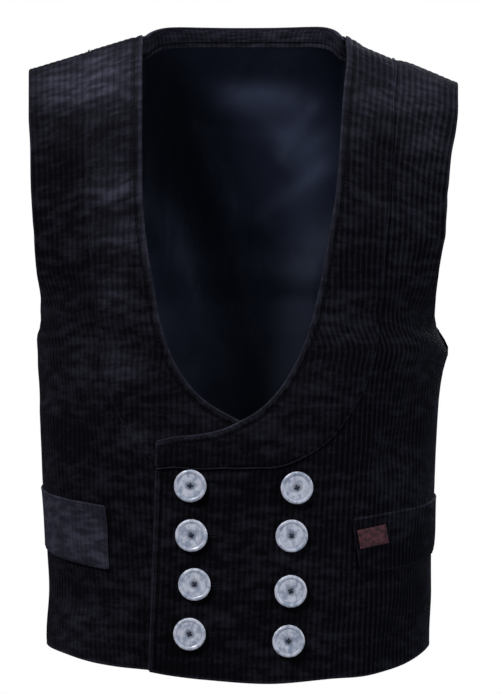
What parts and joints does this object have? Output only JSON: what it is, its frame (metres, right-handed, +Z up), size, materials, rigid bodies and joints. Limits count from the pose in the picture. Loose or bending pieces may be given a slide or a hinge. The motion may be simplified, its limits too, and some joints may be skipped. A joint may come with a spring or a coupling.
{
  "type": "waistcoat",
  "caption": "Sleeveless double-breasted corduroy waistcoat with a deep rounded neckline, flat neckline bands, slanted pocket welts and columns of shell buttons, filled out as worn",
  "frame": {"origin": "the middle of the shoulder line at the height of the neck points, where the wearer's shoulders hold the waistcoat up", "axes": "+Z up, the front faces -Y, and the wearer's left side is +X"},
  "size_m": [0.37, 0.2436, 0.5617],
  "materials": {
    "corduroy": "black wide-wale cotton corduroy with a soft nap",
    "lining": "dark navy satin",
    "label": "plain red woven tape",
    "shell": "polished pearly shell"
  },
  "bodies": {
    "root": {"front_left": "corduroy", "front_right": "corduroy", "back": "corduroy", "back_lining": "lining", "neck_facing": "corduroy", "neck_band_left": "corduroy", "neck_band_right": "corduroy", "pocket_welt_left": "corduroy", "pocket_welt_right": "corduroy", "welt_label": "label", "button_under_1": "shell", "button_under_2": "shell", "button_under_3": "shell", "button_under_4": "shell", "button_over_1": "shell", "button_over_2": "shell", "button_over_3": "shell", "button_over_4": "shell"}
  },
  "joints": []
}
